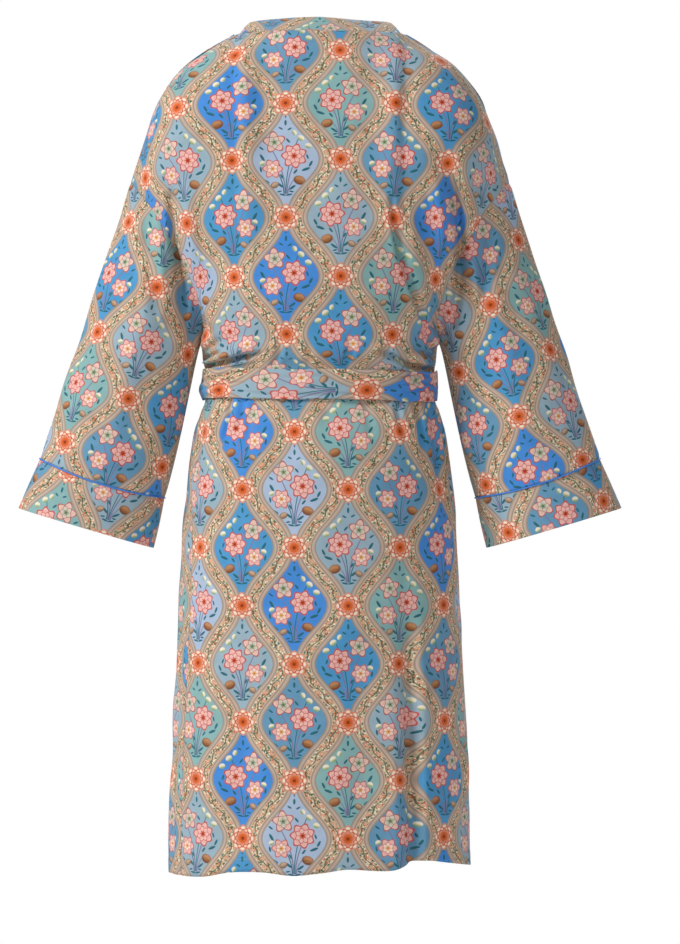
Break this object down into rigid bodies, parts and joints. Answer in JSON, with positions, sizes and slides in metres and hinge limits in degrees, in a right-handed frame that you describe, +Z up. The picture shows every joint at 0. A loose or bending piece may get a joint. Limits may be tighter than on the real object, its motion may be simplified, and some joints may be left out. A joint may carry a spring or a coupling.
{
  "type": "kimono robe",
  "caption": "Women's short kimono robe with dropped-shoulder sleeves, piped cuffs, a long neckband and a tied belt, filled out as worn, hollow, in a blue and taupe ogee floral print.",
  "frame": {"origin": "inside the neck opening, midway between the shoulders where the robe rests on the wearer", "axes": "+Z up; +X to the wearer's right; +Y out of the front, so the back faces -Y"},
  "size_m": [0.77, 0.264, 1.0971],
  "materials": {
    "print_cloth": "matt printed modal jersey, blue, grey and sage cells in a taupe floral trellis",
    "belt_cloth": "the same matt printed jersey, cut lengthwise for the belt",
    "piping_cord": "bright blue satin-faced bias piping"
  },
  "bodies": {
    "root": {"back": "print_cloth", "front_left": "print_cloth", "front_right": "print_cloth", "neckband": "print_cloth", "sleeve_left": "print_cloth", "sleeve_right": "print_cloth", "cuff_left": "print_cloth", "cuff_right": "print_cloth", "cuff_piping_left": "piping_cord", "cuff_piping_right": "piping_cord", "belt_wrap": "belt_cloth", "belt_knot": "belt_cloth", "belt_end_left": "belt_cloth", "belt_end_right": "belt_cloth"}
  },
  "joints": []
}
